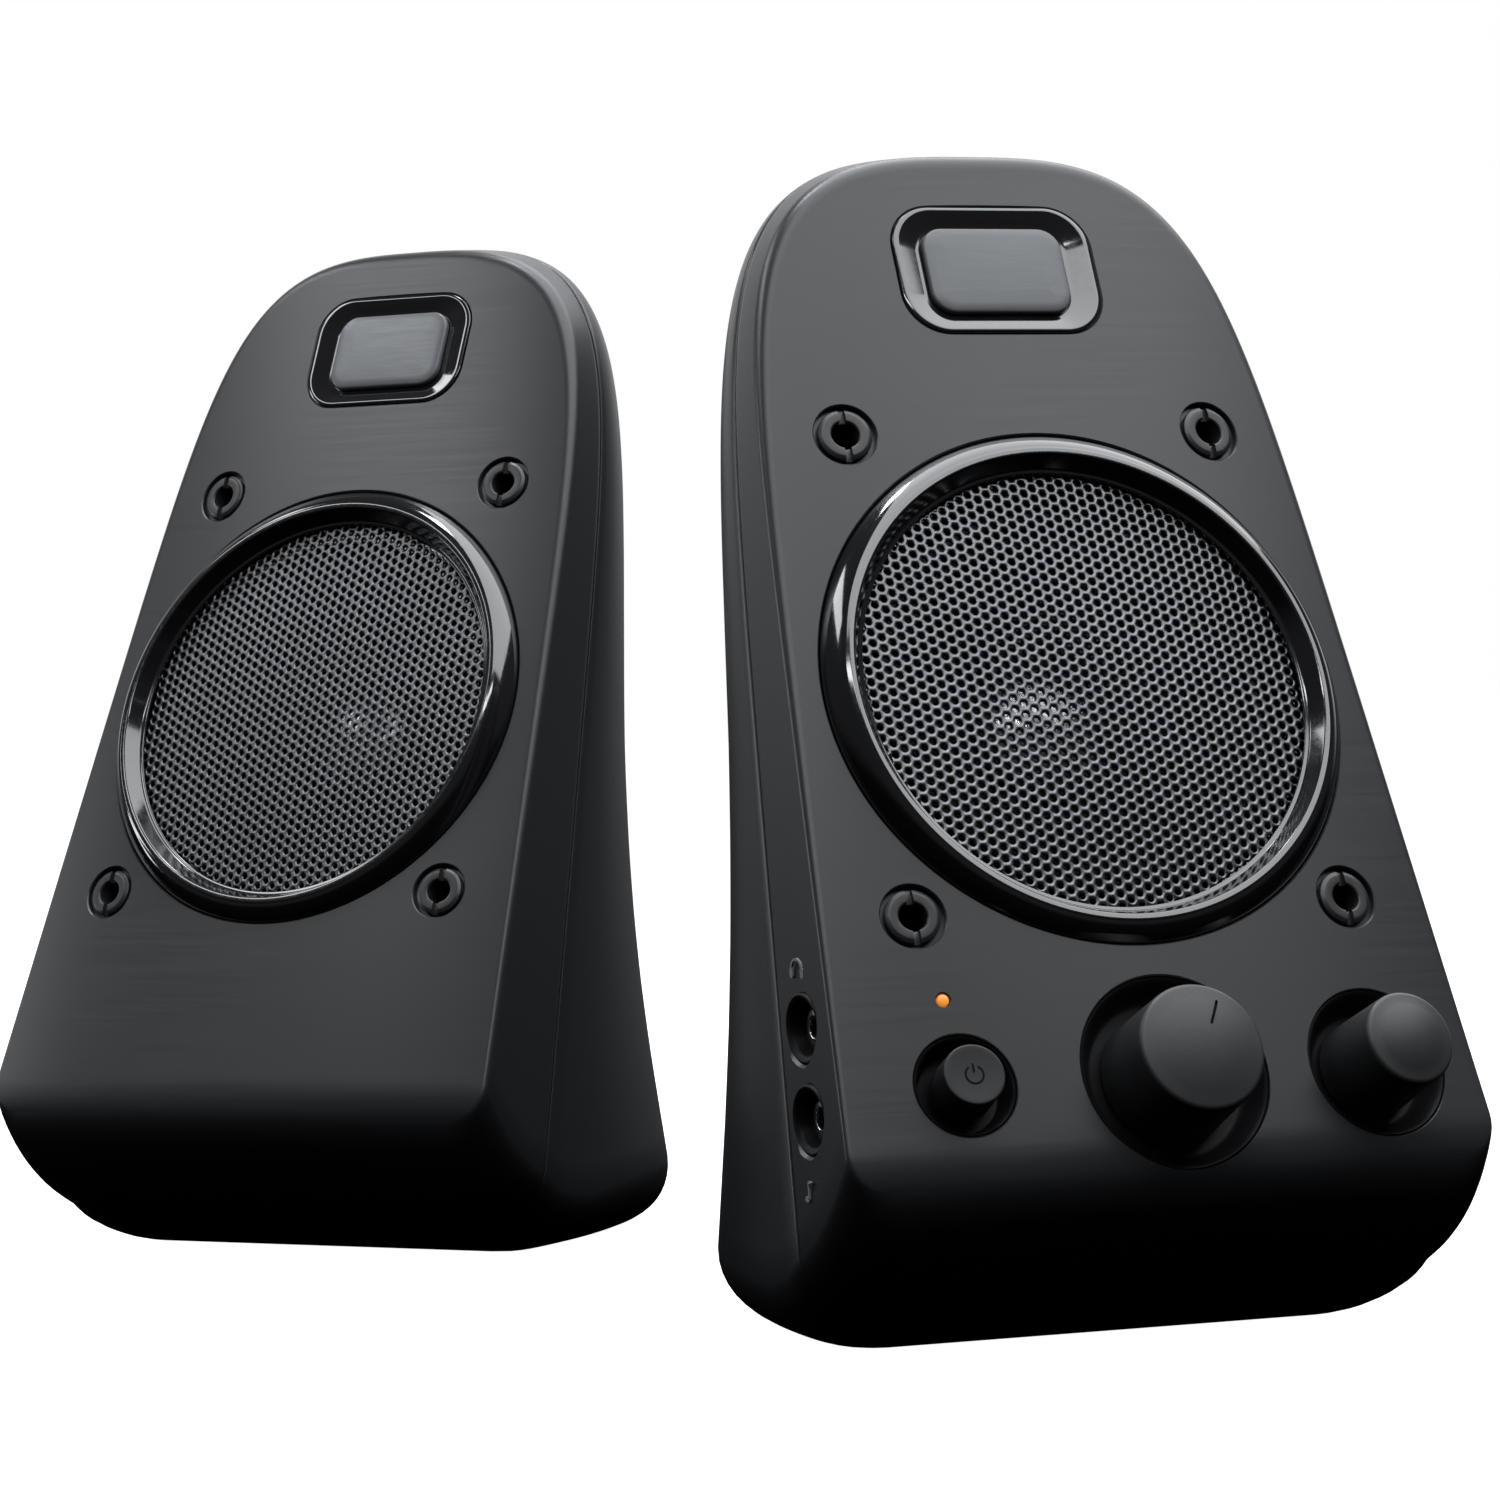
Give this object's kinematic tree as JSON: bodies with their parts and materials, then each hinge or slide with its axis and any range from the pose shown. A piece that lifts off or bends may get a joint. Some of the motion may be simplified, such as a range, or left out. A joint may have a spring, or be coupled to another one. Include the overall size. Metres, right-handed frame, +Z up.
{
  "type": "desktop speakers",
  "caption": "Pair of leaning charcoal desktop speakers, each with a round driver behind a perforated grille, and one with power, volume and bass controls and side jacks.",
  "frame": {"origin": "on the desk, under the middle of the pair's overall box", "axes": "+Z up; the two fronts face -Y, each turned a little outward; +X from the plain satellite towards the one with the controls"},
  "size_m": [0.2652, 0.2976, 0.1958],
  "materials": {
    "amber_lens": "amber",
    "bright_alloy": "bright",
    "charcoal_plastic": "satin charcoal",
    "circuit_board": "solder mask",
    "coil_former": "wound copper",
    "cone_paper": "pressed paper",
    "ferrite": "matt ceramic",
    "gloss_black": "polished",
    "grille_metal": "satin",
    "plated_steel": "plated",
    "rubber": "matte",
    "satin_grey": "satin",
    "spider_cloth": "impregnated cloth"
  },
  "bodies": {
    "cabinets": {"bass_dish": "gloss_black", "bass_pot": "plated_steel", "control_board": "circuit_board", "headphone_jack": "gloss_black", "indicator_lens": "amber_lens", "left_badge_bezel": "gloss_black", "left_badge_plate": "satin_grey", "left_basket": "plated_steel", "left_cable_gland": "rubber", "left_foot": "rubber", "left_front_shell": "charcoal_plastic", "left_grille": "grille_metal", "left_lower_left_collar": "satin_grey", "left_lower_right_collar": "satin_grey", "left_magnet": "ferrite", "left_rear_shell": "charcoal_plastic", "left_spider": "spider_cloth", "left_surround": "rubber", "left_trim_ring": "gloss_black", "left_upper_left_collar": "satin_grey", "left_upper_right_collar": "satin_grey", "left_yoke": "plated_steel", "line_in_jack": "gloss_black", "power_dish": "gloss_black", "power_switch": "gloss_black", "right_badge_bezel": "gloss_black", "right_badge_plate": "satin_grey", "right_basket": "plated_steel", "right_cable_gland": "rubber", "right_foot": "rubber", "right_front_shell": "charcoal_plastic", "right_grille": "grille_metal", "right_lower_left_collar": "satin_grey", "right_lower_right_collar": "satin_grey", "right_magnet": "ferrite", "right_rear_shell": "charcoal_plastic", "right_spider": "spider_cloth", "right_surround": "rubber", "right_trim_ring": "gloss_black", "right_upper_left_collar": "satin_grey", "right_upper_right_collar": "satin_grey", "right_yoke": "plated_steel", "volume_dish": "gloss_black", "volume_pot": "plated_steel"},
    "power_key": {"power_button": "charcoal_plastic"},
    "volume_control": {"volume_knob": "charcoal_plastic", "volume_shaft": "plated_steel"},
    "bass_control": {"bass_knob": "charcoal_plastic", "bass_shaft": "plated_steel"},
    "left_diaphragm": {"left_cone": "cone_paper", "left_voice_coil": "coil_former", "left_dust_cap": "bright_alloy"},
    "right_diaphragm": {"right_cone": "cone_paper", "right_voice_coil": "coil_former", "right_dust_cap": "bright_alloy"}
  },
  "joints": [
    {"name": "power_press", "type": "slide", "parent": "cabinets", "child": "power_key", "axis": [-0.2645, 0.8735, -0.4087], "range_m": [0, 0.0015], "stiffness_N_per_m": 500, "springref_m": -0.001},
    {"name": "volume_turn", "type": "hinge", "parent": "cabinets", "child": "volume_control", "pos_m": [0.08033, -0.1265, 0.04506], "axis": [-0.3359, 0.848, -0.4099], "range_deg": [-178, 122]},
    {"name": "bass_turn", "type": "hinge", "parent": "cabinets", "child": "bass_control", "pos_m": [0.11359, -0.11218, 0.04458], "axis": [-0.4092, 0.8158, -0.4086], "range_deg": [-150, 150]},
    {"name": "left_cone_stroke", "type": "slide", "parent": "cabinets", "child": "left_diaphragm", "axis": [-0.4533, -0.7915, 0.4099], "range_m": [-0.002, 0.002], "stiffness_N_per_m": 1000, "deforming": ["left_surround", "left_spider"]},
    {"name": "right_cone_stroke", "type": "slide", "parent": "cabinets", "child": "right_diaphragm", "axis": [0.3358, -0.8481, 0.4099], "range_m": [-0.002, 0.002], "stiffness_N_per_m": 1000, "deforming": ["right_surround", "right_spider"]}
  ]
}
